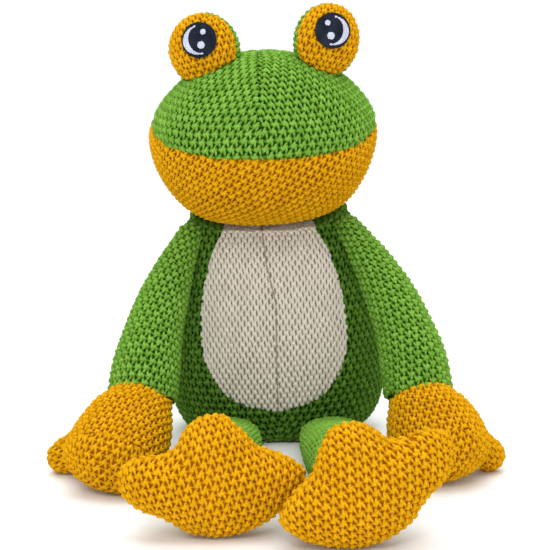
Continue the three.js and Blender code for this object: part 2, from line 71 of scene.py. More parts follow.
WAVES = ((47, 1.0), (23, 0.6), (10, 0.5))  # lengths and strengths of the cloth's unevenness
UNEVEN_RISE = 0.25  # how much of the unevenness shows as height
POLE_GAP, CAP_GAP = 0.02, 0.03  # rings stop this angle short of a bag's ends
LONGEST_SHARE = 0.8  # laid evenly, a step up a map is at least this share of the longest step there
STRAND_MARGIN, PART_MARGIN = 0.1, 0.02  # room between strands and between parts in the UV layout
TINY = 1e-6


def vec(*v):
    return np.array(v, float)


def unit(v):
    return v / np.linalg.norm(v)


def rotation(x=0.0, y=0.0, z=0.0):
    """Turns about Y, then X, then Z, in degrees."""
    x, y, z = (math.radians(a) for a in (x, y, z))
    rx = np.array([[1, 0, 0], [0, math.cos(x), -math.sin(x)], [0, math.sin(x), math.cos(x)]])
    ry = np.array([[math.cos(y), 0, math.sin(y)], [0, 1, 0], [-math.sin(y), 0, math.cos(y)]])
    rz = np.array([[math.cos(z), -math.sin(z), 0], [math.sin(z), math.cos(z), 0], [0, 0, 1]])
    return rz @ rx @ ry


def smooth(values, share, closed=False):
    """A smooth curve through evenly spaced values, read at shares from 0 to 1."""
    values = np.asarray(values, float)
    n = len(values)
    spans = n if closed else n - 1
    at = np.clip(share, 0, 1) * spans
    i = np.minimum(np.floor(at), spans - 1).astype(int)
    t = at - i

    def pick(k):
        return values[k % n] if closed else values[np.clip(k, 0, n - 1)]

    a, b, c, d = pick(i - 1), pick(i), pick(i + 1), pick(i + 2)
    return b + t * (c - a + t * (2 * a - 5 * b + 4 * c - d + t * (3 * (b - c) + d - a))) / 2


def signed_power(x, power):
    return np.sign(x) * np.abs(x) ** power


def bezier(a, b, c, t):
    """Points on a curve and its unit tangents."""
    t = np.asarray(t, float)[..., None]
    point = (1 - t) ** 2 * a + 2 * t * (1 - t) * b + t * t * c
    tangent = 2 * (1 - t) * (b - a) + 2 * t * (c - b)
    return point, tangent / np.linalg.norm(tangent, axis=-1, keepdims=True)


def ring_points(centre, tangent, side, half_width, half_depth, square, angles):
    """Rings of points, one row for each centre."""
    across = side - tangent * (tangent @ side)[:, None]
    across /= np.linalg.norm(across, axis=1, keepdims=True)
    ahead = np.cross(tangent, across)
    c = signed_power(np.cos(angles), 2 / square)[None, :, None]
    s = signed_power(np.sin(angles), 2 / square)[None, :, None]
    return (
        centre[:, None, :]
        + across[:, None, :] * half_width[:, None, None] * c
        + ahead[:, None, :] * half_depth[:, None, None] * s
    )


def bolster(bag, middle, rows=260, around=360):
    """Rings of a stuffed bag with squarish ends, starting opposite the middle angle."""
    turn = np.linspace(POLE_GAP, math.pi - POLE_GAP, rows)
    share = (1 - np.cos(turn)) / 2
    closing = bag["closings"][0] * (1 - share) + bag["closings"][1] * share
    close = np.sin(turn) ** (2 / closing)
    centre, tangent = bezier(bag["start"], bag["bend"], bag["end"], share)
    width = bag["width"] * smooth(bag["width_shares"], share) * close
    depth = bag["depth"] * smooth(bag["depth_shares"], share) * close
    angles = np.linspace(middle - math.pi, middle + math.pi, around + 1)
    return ring_points(centre, tangent, bag["side"], width, depth, bag["square"], angles)


def limb(bag, middle, along=200, cap=40, around=240):
    """Rings of a stuffed limb with a round cap past each end."""
    turn = np.linspace(CAP_GAP, math.pi / 2, cap, endpoint=False)
    share = np.concatenate([np.zeros(cap), np.linspace(0, 1, along), np.ones(cap)])
    past = np.concatenate(
        [-bag["caps"][0] * np.cos(turn), np.zeros(along), bag["caps"][1] * np.cos(turn[::-1])]
    )
    close = np.concatenate([np.sin(turn), np.ones(along), np.sin(turn[::-1])])
    centre, tangent = bezier(bag["start"], bag["bend"], bag["end"], share)
    centre = centre + tangent * past[:, None]
    width = bag["width"] * smooth(bag["width_shares"], share) * close
    depth = bag["depth"] * smooth(bag.get("depth_shares", bag["width_shares"]), share) * close
    angles = np.linspace(middle - math.pi, middle + math.pi, around + 1)
    return ring_points(centre, tangent, bag["side"], width, depth, 2, angles)


def resample(points, at):
    """Points along axis 0 of an array, taken at even steps of a measure that grows along it."""
    even = np.linspace(at[0], at[-1], len(at))
    i = np.clip(np.searchsorted(at, even, side="right") - 1, 0, len(at) - 2)
    t = (even - at[i]) / np.maximum(at[i + 1] - at[i], 1e-9)
    t = t.reshape((-1,) + (1,) * (points.ndim - 1))
    return points[i] * (1 - t) + points[i + 1] * t


def normals_of(table, inside):
    """Unit normals of a grid of points, pointing away from a point inside it."""
    across = np.gradient(table, axis=0)
    along = np.gradient(table, axis=1)
    n = np.cross(across, along)
    length = np.linalg.norm(n, axis=2, keepdims=True)
    n = np.where(length > 1e-7, n / np.maximum(length, 1e-9), 0)
    if np.sum(n * (table - inside)) < 0:
        n = -n
    return n


def read(table, row, column):
    """Bilinear reading of a table at fractional rows and columns."""
    row = np.clip(row, 0, table.shape[0] - 1.001)
    column = np.clip(column, 0, table.shape[1] - 1.001)
    i, j = row.astype(int), column.astype(int)
    a, b = (row - i)[..., None], (column - j)[..., None]
    return (
        table[i, j] * (1 - a) * (1 - b)
        + table[i + 1, j] * a * (1 - b)
        + table[i, j + 1] * (1 - a) * b
        + table[i + 1, j + 1] * a * b
    )


class RingMap:
    """A bag's surface laid out flat: v runs up its middle line, s runs round it both ways.
    Laid evenly, v follows the longest way up where that is much longer than the middle line."""

    def __init__(self, rings, evenly=False):
        mid = rings.shape[1] // 2
        steps = np.linalg.norm(np.diff(rings, axis=0), axis=2)
        step = np.maximum(steps[:, mid], LONGEST_SHARE * steps.max(1)) if evenly else steps[:, mid]
        at = np.concatenate([[0], np.cumsum(step)])
        self.length = at[-1]
        rings = resample(rings, at)
        seg = np.linalg.norm(np.diff(rings, axis=1), axis=2)
        total = np.concatenate([np.zeros((len(rings), 1)), np.cumsum(seg, axis=1)], axis=1)
        self.back = total[:, mid]
        self.ahead = total[:, -1] - total[:, mid]
        columns = 2 * mid + 1
        k = np.linspace(-1, 1, columns)
        out = np.empty((len(rings), columns, 3))
        for r in range(len(rings)):
            target = total[r, mid] + np.where(k < 0, k * self.back[r], k * self.ahead[r])
            for c in range(3):
                out[r, :, c] = np.interp(target, total[r], rings[r, :, c])
        self.table = out
        self.normals = normals_of(out, out.mean((0, 1)))
        self.half = max(self.back.max(), self.ahead.max())
        self.span = (0.0, self.length)

    def read(self, s, v):
        rows = len(self.table) - 1
        row = np.clip(v / self.length, 0, 1) * rows
        back = np.interp(row, np.arange(rows + 1), self.back)
        ahead = np.interp(row, np.arange(rows + 1), self.ahead)
        k = np.where(s < 0, s / np.maximum(back, TINY), s / np.maximum(ahead, TINY))
        valid = (np.abs(k) <= 1) & (v >= 0) & (v <= self.length)
        column = (np.clip(k, -1, 1) + 1) / 2 * (self.table.shape[1] - 1)
        point = read(self.table, row, column)
        normal = read(self.normals, row, column)
        normal /= np.maximum(np.linalg.norm(normal, axis=-1, keepdims=True), TINY)
        return point, normal, valid


class FaceMap:
    """One face of a pillow laid out flat from its middle: s runs sideways and v upwards."""

    def __init__(self, outline, half_depth, closing, place, front=True, past=0.0, rays=240, steps=120):
        angles = np.linspace(-math.pi, math.pi, rays + 1)
        last = math.pi / 2 + math.asin(past / half_depth)
        turn = np.linspace(0.0, last, steps)
        close = np.sin(turn) ** (2 / closing)
        depth = half_depth * np.cos(turn) * (-1 if front else 1)
        x, z = outline(angles)
        local = np.stack(
            [x[:, None] * close, np.broadcast_to(depth, (len(angles), steps)), z[:, None] * close], axis=2
        )
        seg = np.linalg.norm(np.diff(local, axis=1), axis=2)
        total = np.concatenate([np.zeros((len(angles), 1)), np.cumsum(seg, axis=1)], axis=1)
        self.reach = total[:, -1]
        out = np.empty_like(local)
        for r in range(len(angles)):
            even = np.linspace(0, self.reach[r], steps)
            for c in range(3):
                out[r, :, c] = np.interp(even, total[r], local[r, :, c])
        self.table = place(out)
        self.normals = normals_of(self.table, place(np.zeros((1, 1, 3)))[0, 0])
        self.normals[:, :2] = self.normals[:, 2:3].mean(0, keepdims=True)
        self.half = self.reach.max()
        self.span = (-self.half, self.half)

    def read(self, s, v):
        angle = np.arctan2(v, s)
        row = (angle + math.pi) / TAU * (self.table.shape[0] - 1)
        reach = np.interp(row, np.arange(len(self.reach)), self.reach)
        q = np.hypot(s, v) / reach
        column = np.clip(q, 0, 1) * (self.table.shape[1] - 1)
        point = read(self.table, row, column)
        normal = read(self.normals, row, column)
        normal /= np.maximum(np.linalg.norm(normal, axis=-1, keepdims=True), TINY)
        return point, normal, q <= 1


class PoleMap(FaceMap):
    """The round end of a bag laid out flat from its pole."""

    def __init__(self, rings, reach, steps=90):
        ends = np.swapaxes(rings[::-1], 0, 1)
        total = np.cumsum(np.linalg.norm(np.diff(ends, axis=1), axis=2), axis=1)
        total = np.concatenate([np.zeros((len(ends), 1)), total], axis=1)
        self.reach = np.full(len(ends), float(reach))
        out = np.empty((len(ends), steps, 3))
        for r in range(len(ends)):
            for c in range(3):
                out[r, :, c] = np.interp(np.linspace(0, reach, steps), total[r], ends[r, :, c])
        self.table = out
        self.normals = normals_of(out, rings.mean((0, 1)))
        self.normals[:, :2] = self.normals[:, 2:3].mean(0, keepdims=True)
        self.half = reach
        self.span = (-reach, reach)


def tubes(surface, s, v, rise, radius, keep, dip=None, sides=6, jump=3.0, low=None):
    """Round strands over a surface, one for each row of s and v, broken where they would jump further.
    Returns corners, faces, face-corner UVs and a number for each face: 1 where the strand lies low, for its
    darker yarn of painted shade."""
    point, normal, valid = surface.read(s, v)
    kept = valid & keep(point)
    depth = rise
    if dip is not None:
        depth = depth - dip(point)
    centre = point + normal * depth[..., None]
    tangent = np.gradient(centre, axis=1)
    tangent /= np.maximum(np.linalg.norm(tangent, axis=2, keepdims=True), TINY)
    side = np.cross(tangent, normal)
    side /= np.maximum(np.linalg.norm(side, axis=2, keepdims=True), TINY)
    out = np.cross(side, tangent)
    around = TAU * np.arange(sides) / sides
    spoke = np.cos(around)[:, None] * side[:, :, None, :] + np.sin(around)[:, None] * out[:, :, None, :]
    corners = centre[:, :, None, :] + np.broadcast_to(radius, kept.shape)[:, :, None, None] * spoke
    n_rows, n_cols = kept.shape
    link = kept[:, 1:] & kept[:, :-1]
    link &= np.linalg.norm(np.diff(centre, axis=1), axis=2) < jump
    r, c = np.nonzero(link)
    base = ((r * n_cols + c) * sides)[:, None]
    k = np.arange(sides)[None, :]
    nxt = (k + 1) % sides
    quads = np.stack([base + k, base + nxt, base + sides + nxt, base + sides + k], axis=2).reshape(-1, 4)
    # Faces where the strand lies low take material 1, the yarn darkened as painted shade.
    low = np.zeros(kept.shape, int) if low is None else np.broadcast_to(low, kept.shape).astype(int)
    number = np.repeat(low[r, c], sides)
    u0, u1 = c / n_cols, (c + 1) / n_cols
    w0, w1 = (
        (r[:, None] + STRAND_MARGIN + (1 - 2 * STRAND_MARGIN) * edge / sides) / n_rows for edge in (k, k + 1)
    )
    u0 = np.broadcast_to(u0[:, None], w0.shape)
    u1 = np.broadcast_to(u1[:, None], w0.shape)
    uv = np.stack(
        [np.stack([u0, w0], 2), np.stack([u0, w1], 2), np.stack([u1, w1], 2), np.stack([u1, w0], 2)], axis=2
    ).reshape(-1, 4, 2)
    begins = link & ~np.concatenate([np.zeros((n_rows, 1), bool), link[:, :-1]], axis=1)
    ends = link & ~np.concatenate([link[:, 1:], np.zeros((n_rows, 1), bool)], axis=1)
    caps = []
    cap_uv = []
    for mask, offset, flip in ((begins, 0, True), (ends, 1, False)):
        r, c = np.nonzero(mask)
        b = ((r * n_cols + c + offset) * sides)[:, None]
        for corner in ((0, 1, 2, 3), (0, 3, 4, 5)) if sides == 6 else ((0, 1, 2, 3),):
            q = b + np.array(corner)[None, :]
            caps.append(q[:, ::-1] if flip else q)
            spot = np.stack([(c + offset) / n_cols, (r + 0.5) / n_rows], axis=1)
            cap_uv.append(np.repeat(spot[:, None, :], 4, axis=1))
    faces = np.concatenate([quads, *caps])
    uvs = np.concatenate([uv, *cap_uv])
    number = np.concatenate([number, np.zeros(len(faces) - len(number), int)])
    used, faces = np.unique(faces, return_inverse=True)
    faces = faces.reshape(-1, 4)
    return corners.reshape(-1, 3)[used], faces, uvs, number


def waver(s, v, seed):
    """Smooth, repeatable unevenness over a laid-out surface: three values between about -2 and 2."""
    rng = np.random.default_rng(seed)
    out = [0.0, 0.0, 0.0]
    for length, share in WAVES:
        for _ in range(2):
            way = rng.uniform(0, TAU)
            wave = TAU * (s * math.cos(way) + v * math.sin(way)) / length
            for k in range(3):
                out[k] = out[k] + share * np.sin(wave + rng.uniform(0, TAU))
    return out


def knit(surface, style, keep, dip, tilt, seed, crossed, per_stitch=12):
    """Star-stitch cloth over a surface: rows of loops whose tips meet, each row crossed by a plain strand."""
    pitch, row, radius, relief = style["pitch"], style["row"], style["radius"], style["relief"]
    low, high, half = surface.span[0], surface.span[1], surface.half
    if tilt:
        reach = math.hypot(half, max(abs(low), abs(high)))
        low, high, half = -reach, reach, reach
    rows = int((high - low) / row) + 2
    count = int(half / pitch) + 1
    j = np.arange(rows)[:, None]

    def lay(s, v, rise, size, sides, painted_shade):
        s = np.broadcast_to(s, v.shape)
        shift_s, shift_v, shift_up = waver(s, v, seed)
        s = s + style["uneven"] * shift_s
        v = v + style["uneven"] * shift_v
        rise = rise - style["sink"] + UNEVEN_RISE * style["uneven"] * shift_up
        if tilt:
            c, n = math.cos(math.radians(tilt)), math.sin(math.radians(tilt))
            s, v = c * s - n * v, n * s + c * v
        return tubes(surface, s, v, rise, size, keep, dip, sides, low=painted_shade)

    t = np.arange(-count * per_stitch, count * per_stitch + 1)[None, :] / per_stitch
    phase = t + 0.5 * (j % 2)
    slant = math.hypot(pitch / 2, row)
    curl = style["curl"] * np.sin(2 * TAU * phase) / slant
    s = pitch * t - curl * row * np.where(np.sin(TAU * phase) >= 0, 1, -1)
    v = low + row * j - (row / 2 + style["overlap"]) * np.cos(TAU * phase) + curl * pitch / 2
    stars = np.cos(2 * TAU * phase)
    rise = relief * (stars - style["twist"] * np.cos(TAU * phase))
    # Where the loops lie low between stars they take the darker low yarn: painted shade.
    loops = lay(s, v, rise, radius * (1 + style["swell"] * stars), 6, stars < SHADE_LOOP_BELOW)
    if not crossed:
        return [loops]
    half_stitch = per_stitch // 2
    t = np.arange(-count * half_stitch, count * half_stitch + 1)[None, :] / half_stitch
    phase = t + 0.5 * (j % 2) + 0.5
    v = low + row * (j + 0.5) + style["curl"] * np.sin(TAU * phase)
    stars = np.cos(TAU * phase)
    rise = relief * stars - style["duck"] * (1 - stars) / 2
    # Strands lying low between stars take the darker low yarn too: painted shade.
    strands = lay(pitch * t, v, rise, radius * (1 + style["swell"] * stars), 4, stars < SHADE_STRAND_BELOW)
    return [loops, strands]


def backing(surface, keep, inset, dip=None, coarser=6, deepest=1.2):
    """The cloth behind the loops: the same surface, a little further in, as a plain, coarser grid."""
    table, normals = surface.table, surface.normals
    rows, cols = (max(int(size / coarser), 8) for size in table.shape[:2])
    i = np.linspace(0, table.shape[0] - 1.001, rows)
    j = np.linspace(0, table.shape[1] - 1.001, cols)
    row, column = np.meshgrid(i, j, indexing="ij")
    point = read(table, row, column)
    normal = read(normals, row, column)
    normal /= np.maximum(np.linalg.norm(normal, axis=2, keepdims=True), TINY)
    kept = keep(point)
    near = kept.copy()
    for axis in (0, 1):
        for shift in (-1, 1):
            near |= np.roll(kept, shift, axis=axis)
    depth = np.full(kept.shape, inset)
    if dip is not None:
        depth = depth + np.minimum(dip(point), deepest)
    point = point - normal * depth[..., None]
    quad = near[1:, 1:] & near[1:, :-1] & near[:-1, 1:] & near[:-1, :-1]
    r, c = np.nonzero(quad)
    a = r * cols + c
    faces = np.stack([a, a + 1, a + cols + 1, a + cols], axis=1)
    flat = point.reshape(-1, 3)
    first = faces[len(faces) // 2]
    facing = np.cross(flat[first[1]] - flat[first[0]], flat[first[3]] - flat[first[0]])
    if facing @ normal.reshape(-1, 3)[first[0]] < 0:
        faces = faces[:, ::-1]
    uv = np.stack([column / table.shape[1], row / table.shape[0]], axis=2).reshape(-1, 2)
    uvs = uv[faces]
    used, faces = np.unique(faces, return_inverse=True)
    faces = faces.reshape(-1, 4)
    return flat[used], faces, uvs, np.zeros(len(faces), int)


def make(name, parts, materials):
    """One mesh object from (corners, faces, uvs, material numbers) parts, in metres."""
    corners, faces, uvs, slots = [], [], [], []
    start = 0
    strips = len(parts)
    for n, (co, fa, uv, slot) in enumerate(parts):
        corners.append(co)
        faces.append(fa + start)
        uv = uv.copy()
        uv[..., 1] = (uv[..., 1] * (1 - 2 * PART_MARGIN) + PART_MARGIN + n) / strips
        uvs.append(uv)
        slots.append(slot)
        start += len(co)
    corners = np.concatenate(corners)
    faces = np.concatenate(faces)
    uvs = np.concatenate(uvs)
    slots = np.concatenate(slots)
    corners = (corners + SHIFT) * MM
    corners[:, 2] = np.maximum(corners[:, 2], 0.0)
    mesh = bpy.data.meshes.new(name)
    mesh.vertices.add(len(corners))
    mesh.vertices.foreach_set("co", corners.astype(np.float32).ravel())
    mesh.loops.add(faces.size)
    mesh.loops.foreach_set("vertex_index", faces.astype(np.int32).ravel())
    mesh.polygons.add(len(faces))
    mesh.polygons.foreach_set("loop_start", np.arange(0, faces.size, 4, dtype=np.int32))
    mesh.polygons.foreach_set("loop_total", np.full(len(faces), 4, np.int32))
    mesh.polygons.foreach_set("material_index", slots.astype(np.int32))
    layer = mesh.uv_layers.new(name="OFBake")
    layer.data.foreach_set("uv", uvs.astype(np.float32).ravel())
    for m in materials:
        mesh.materials.append(m)
    mesh.update(calc_edges=True)
    mesh.validate()
    mesh.polygons.foreach_set("use_smooth", np.ones(len(mesh.polygons), bool))
    obj = bpy.data.objects.new(name, mesh)
    bpy.context.scene.collection.objects.link(obj)
    return obj


def dress(obj, node, body, slot):
    """The object rides a body in place of one CAD node, which is hidden."""
    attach(obj, body)
    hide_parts(node)


# Materials

SHINE, YARN_ROUGHNESS = 0.03, 0.95
BLOTCHES = 160  # noise scale of the mottled dye


def new_material(name, color, rough):
    m = bpy.data.materials.new(name)
    m.use_nodes = True
    b = m.node_tree.nodes["Principled BSDF"]
    b.inputs["Base Color"].default_value = (*color, 1)
    b.inputs["Roughness"].default_value = rough
    b.inputs["Specular IOR Level"].default_value = SHINE
    return m, b


def yarn_material(name, dark, light, scale=900.0, depth=0.0004):
    """Matt spun yarn: mottled dye and fine fibres."""
    m, b = new_material(name, light, YARN_ROUGHNESS)
    nodes, links = m.node_tree.nodes, m.node_tree.links
    where = nodes.new("ShaderNodeTexCoord")
    blotch = nodes.new("ShaderNodeTexNoise")
    blotch.inputs["Scale"].default_value = BLOTCHES
    blotch.inputs["Detail"].default_value = 3
    links.new(where.outputs["Object"], blotch.inputs["Vector"])
    ramp = nodes.new("ShaderNodeValToRGB")
    for stop, position, color in zip(ramp.color_ramp.elements, (0.3, 0.7), (dark, light)):
        stop.position = position
        stop.color = (*color, 1)
    links.new(blotch.outputs["Fac"], ramp.inputs["Fac"])
    links.new(ramp.outputs["Color"], b.inputs["Base Color"])
    fibre = nodes.new("ShaderNodeTexNoise")
    fibre.inputs["Scale"].default_value = scale
    fibre.inputs["Detail"].default_value = 2
    links.new(where.outputs["Object"], fibre.inputs["Vector"])
    bump = nodes.new("ShaderNodeBump")
    bump.inputs["Strength"].default_value = 0.6
    bump.inputs["Distance"].default_value = depth
    links.new(fibre.outputs["Fac"], bump.inputs["Height"])
    links.new(bump.outputs["Normal"], b.inputs["Normal"])
    return m


def rgb(*levels):
    """sRGB 0-255 to linear."""
    shares = [level / 255 for level in levels]
    return tuple(v / 12.92 if v <= 0.04045 else ((v + 0.055) / 1.055) ** 2.4 for v in shares)


# Each look: its CAD slot, and the darker and lighter mottled dye of its raised yarn, low yarn and backing.
# The low yarn and the backing are darker copies of the yarn: painted shade in the hollows between stars and
# in the holes between stitches.
KNITS = {
    look: ([yarn_material(name, rgb(*dark), rgb(*light)) for name, dark, light in colours], slot)
    for look, slot, colours in (
        ("green", "green_knit", (
            ("green_yarn", (104, 150, 52), (130, 178, 74)),
            ("green_yarn_low_shade", (78, 122, 32), (92, 138, 42)),
            ("green_backing", (30, 62, 10), (40, 76, 16)),
        )),
        # The torso's and neck's green is the green darkened as painted shade, for the shade the torso's sides
        # and lower belly lie in.
        ("shaded green", "green_knit", (
            ("shaded_green_yarn", (78, 117, 38), (99, 140, 54)),
            ("shaded_green_yarn_low_shade", (56, 92, 22), (70, 108, 29)),
            ("deep_green_backing", (24, 50, 8), (32, 62, 12)),
        )),
        ("yellow", "yellow_knit", (
            ("yellow_yarn", (204, 148, 13), (224, 168, 20)),
            ("yellow_yarn_low_shade", (184, 124, 7), (198, 138, 10)),
            ("yellow_backing", (150, 92, 3), (168, 104, 5)),
        )),
        ("cream", "cream_knit", (
            ("cream_yarn", (214, 206, 193), (227, 220, 209)),
            ("cream_yarn_low_shade", (202, 193, 178), (214, 206, 192)),
            ("cream_backing", (154, 142, 123), (168, 156, 137)),
        )),
    )
}
BLACK = yarn_material("black_embroidery", rgb(28, 33, 43), rgb(42, 48, 60), 2500, 0.0001)
WHITE = yarn_material("white_embroidery", rgb(184, 186, 206), rgb(202, 204, 222), 2500, 0.0001)
FIBRE = yarn_material("stuffing_fibre", rgb(236, 234, 228), rgb(248, 247, 243), 400, 0.001)


def everywhere(p):
    return np.ones(p.shape[:-1], bool)


BACKING_INSET, FIBRE_INSET, EYE_FIBRE_INSET = 2.1, 4.4, 4.2


def panel(node, body, surface, style, look, keep, dip=None, tilt=0.0, extra=(), threads=()):
    """A knit panel of a stuffed bag, which stands for one CAD node. Extra patches are given as
    (surface, keep, dip, tilt), and threads as ready-made parts."""
    materials, slot = KNITS[look]
    seed = sum(map(ord, node))
    parts = list(threads)
    for k, (surface, keep, dip, tilt) in enumerate([(surface, keep, dip, tilt), *extra]):
        parts += knit(surface, style, keep, dip, tilt, seed + k, look != "cream")
        # The backing takes the darkest material: painted shade seen through the holes between the stitches.
        *cloth, number = backing(surface, keep, BACKING_INSET, dip)
        parts.append((*cloth, number + BACK))
    dress(make(node + "_knit", parts, materials), node, body, slot)


def stuffing(node, body, surfaces, inset=FIBRE_INSET, keep=everywhere):
    """The loose fibre inside a bag, a little smaller than its cloth."""
    parts = [backing(s, keep, inset) for s in surfaces]
    dress(make(node + "_fibre", parts, [FIBRE]), node, body, "stuffing")


# Sizes, as in the CAD part

LEAN = rotation(y=-3)


def leaning(x, y, z):
    return LEAN @ vec(x, y, z)


TORSO_HEIGHT = 168
torso_bag = dict(
    start=vec(0, 0, -0.5),
    bend=leaning(0, -7, TORSO_HEIGHT / 2),
    end=leaning(0, 3, TORSO_HEIGHT),
    side=SIDEWAYS,
    width=69,
    depth=49,
    width_shares=[1.2, 1.12, 1.05, 0.96, 0.89, 0.86],
    depth_shares=[1.12, 1.08, 1.0, 0.88, 0.78, 0.72],
    closings=[6, 7],
    square=2.2,
)
NECK = leaning(0, 3, TORSO_HEIGHT - 16)
CHIN = leaning(0, -22, TORSO_HEIGHT - 21)
HEAD_TURN = rotation(x=7, y=-3.2)
HEAD_HEIGHT = 110


def in_head(x, y, z):
    return CHIN + HEAD_TURN @ vec(x, y, z)


head_bag = dict(
    start=in_head(0, 0, 0),
    bend=in_head(0, 0, HEAD_HEIGHT / 2),
    end=in_head(0, 0, HEAD_HEIGHT),
    side=HEAD_TURN @ SIDEWAYS,
    width=73.3,
    depth=60,
    width_shares=[1.03, 0.98, 0.99, 1.0, 0.95, 0.9],
    depth_shares=[0.96, 1.0, 1.02, 1.0, 0.95, 0.88],
    closings=[3, 2],
    square=2.25,
)
MOUTH_AT = in_head(0, 0, 0.588 * HEAD_HEIGHT)
MOUTH_TURN = HEAD_TURN @ rotation(x=11, y=2.6)


def to_mouth(p):
    return (p - MOUTH_AT) @ MOUTH_TURN


def to_head(p):
    return (p - CHIN) @ HEAD_TURN


def to_lean(p):
    return p @ LEAN


def seam(inside, depth=1.3, width=2.0, steepness=1.6):
    """How far the cloth is pulled in near a seam, by how far inside its own edge a point lies.
    Past the edge it turns steeply inwards."""
    return depth * np.exp(-((np.maximum(inside, 0) / width) ** 2)) - steepness * np.minimum(inside, 0)


# Torso


def settle(rings):
    """The underside sags flat on what it sits on."""
    sag, fade, lowest = 2.4, 6, 0.9
    z = rings[..., 2]
    rings[..., 2] = np.maximum(z - sag * np.exp(-((z / fade) ** 2)), lowest)
    return rings


TUMMY_LOW, TUMMY_HIGH, TUMMY_HALF = 23.5, 172, 48
tummy_heights = [0, 0.04, 0.12, 0.22, 0.34, 0.5, 0.67, 0.84, 1]
tummy_widths = [0, 0.5, 0.8, 0.95, 1.0, 0.96, 0.82, 0.56, 0.36]
tummy_share = np.linspace(0, 1, 200)
tummy_z = TUMMY_LOW + (TUMMY_HIGH - TUMMY_LOW) * smooth(tummy_heights, tummy_share)
tummy_x = TUMMY_HALF * smooth(tummy_widths, tummy_share)


def tummy_distance(p):
    """How far a point lies outside the tummy's outline; below zero is inside."""
    q = to_lean(p)
    half = np.interp(q[..., 2], tummy_z, tummy_x)
    slope = np.interp(q[..., 2], tummy_z, np.abs(np.gradient(tummy_x, tummy_z)))
    side = (np.abs(q[..., 0]) - half) / np.sqrt(1 + np.minimum(slope, 3) ** 2)
    side = np.maximum(side, TUMMY_LOW - q[..., 2])
    return np.where(q[..., 1] < 0, side, 99.0)


def in_head_bag(p, room=0.0):
    """Whether points lie inside the head."""
    q = to_head(p)
    share = np.clip(q[..., 2] / HEAD_HEIGHT, 0.001, 0.999)
    closing = head_bag["closings"][0] * (1 - share) + head_bag["closings"][1] * share
    close = np.sin(np.arccos(1 - 2 * share)) ** (2 / closing)
    half = head_bag["width"] * smooth(head_bag["width_shares"], share) * close + room
    depth = head_bag["depth"] * smooth(head_bag["depth_shares"], share) * close + room
    square = head_bag["square"]
    r = (np.abs(q[..., 0]) / half) ** square + (np.abs(q[..., 1]) / depth) ** square
    return (r < 1) & (q[..., 2] > 0) & (q[..., 2] < HEAD_HEIGHT)


# The lowest that the head comes over each place, on a grid, as it nods and turns.
NODS, TURNS = (-12, 0, 6), (-10, 0, 10)
HEAD_ROOM = 2.3
GRID_STEP, GRID_RISE = 3.0, 0.75
grid_x = np.arange(-75, 76, GRID_STEP)
grid_y = np.arange(-66, 67, GRID_STEP)
grid_z = np.arange(112, 186, GRID_RISE)
cells = np.stack(np.meshgrid(grid_x, grid_y, grid_z, indexing="ij"), axis=-1)
filled = np.zeros(cells.shape[:3], bool)
for nod in NODS:
    for turn in TURNS:
        back_to_rest = rotation(x=-nod) @ rotation(z=-turn)
        filled |= in_head_bag((cells - NECK) @ back_to_rest.T + NECK, HEAD_ROOM)
lowest_head = np.where(filled.any(2), grid_z[filled.argmax(2)] - GRID_RISE, grid_z[-1])


def under_head(rings):
    """The bag's top is pressed down clear of the head, however the head nods or turns."""
    i = (rings[..., 0] - grid_x[0]) / GRID_STEP
    j = (rings[..., 1] - grid_y[0]) / GRID_STEP
    rings[..., 2] = np.minimum(rings[..., 2], read(lowest_head[..., None], i, j)[..., 0])
    return rings


def torso_map(middle):
    return RingMap(under_head(settle(bolster(torso_bag, middle))), evenly=True)


SEAM_HEIGHTS, SEAM_WANDERS = [20, 60, 95, 120, 150], [0, 1, 2.5, -2.5, -5]


def tummy_seam(p):
    """How far a point lies to the left of the tummy's middle seam, which wanders a little."""
    q = to_lean(p)
    return q[..., 0] - np.interp(q[..., 2], SEAM_HEIGHTS, SEAM_WANDERS)


def on_tummy(p):
    return tummy_distance(p) < 0


FRONT, BACKWARDS = -math.pi / 2, math.pi / 2  # angles round a bag
TORSO_OFFSET, HEAD_OFFSET = 0.75, 0.5  # from the front to the middle of each side's panel
THREAD_RISE, THREAD_RADIUS = -0.75, 0.42
# How far each panel runs past its middle seam and past the tummy's edge.
GREEN_LAPS, CREAM_LAPS = (0.7, 0.9), (0.3, 0.6)
torso_front = torso_map(FRONT)
along = np.linspace(0, torso_front.length, 400)[None, :]
across = np.zeros_like(along)
for _ in range(4):
    across = across - tummy_seam(torso_front.read(across, along)[0])
# A seam thread sunk in the tummy's middle seam, given the cream backing's darker colour: painted shade that
# draws the seam's crease as a thin dark line.
*thread, number = tubes(
    torso_front, across, along, np.full(along.shape, THREAD_RISE), THREAD_RADIUS, on_tummy, sides=4
)
tummy_shade_thread = (*thread, number + BACK)
for side, sign in (("right", -1), ("left", 1)):

    def green_side(p, sign=sign):
        q = to_lean(p)
        return (q[..., 0] * sign > -GREEN_LAPS[0]) & (tummy_distance(p) > -GREEN_LAPS[1])

    def green_dip(p, sign=sign):
        return np.maximum(seam(to_lean(p)[..., 0] * sign, depth=1.0, width=1.6), seam(tummy_distance(p)))

    def cream_side(p, sign=sign):
        return (tummy_seam(p) * sign > -CREAM_LAPS[0]) & (tummy_distance(p) < CREAM_LAPS[1])

    def cream_dip(p, sign=sign):
        middle = seam(tummy_seam(p) * sign, depth=0.6, width=1.5)
        return np.maximum(middle, seam(-tummy_distance(p), depth=0.9))

    surface = torso_map(FRONT + sign * TORSO_OFFSET)
    panel(f"torso_{side}_panel", "torso", surface, TORSO_STAR, "shaded green", green_side, green_dip)
    panel(
        f"tummy_{side}_panel", "torso", torso_front, TUMMY_KNIT, "cream", cream_side, cream_dip,
        threads=[tummy_shade_thread] if sign > 0 else [],
    )


FILLING_TOP = 138  # the torso's filling ends below the neck's


def under_neck(p):
    return to_lean(p)[..., 2] < FILLING_TOP


stuffing("torso_filling", "torso", [torso_front], keep=under_neck)

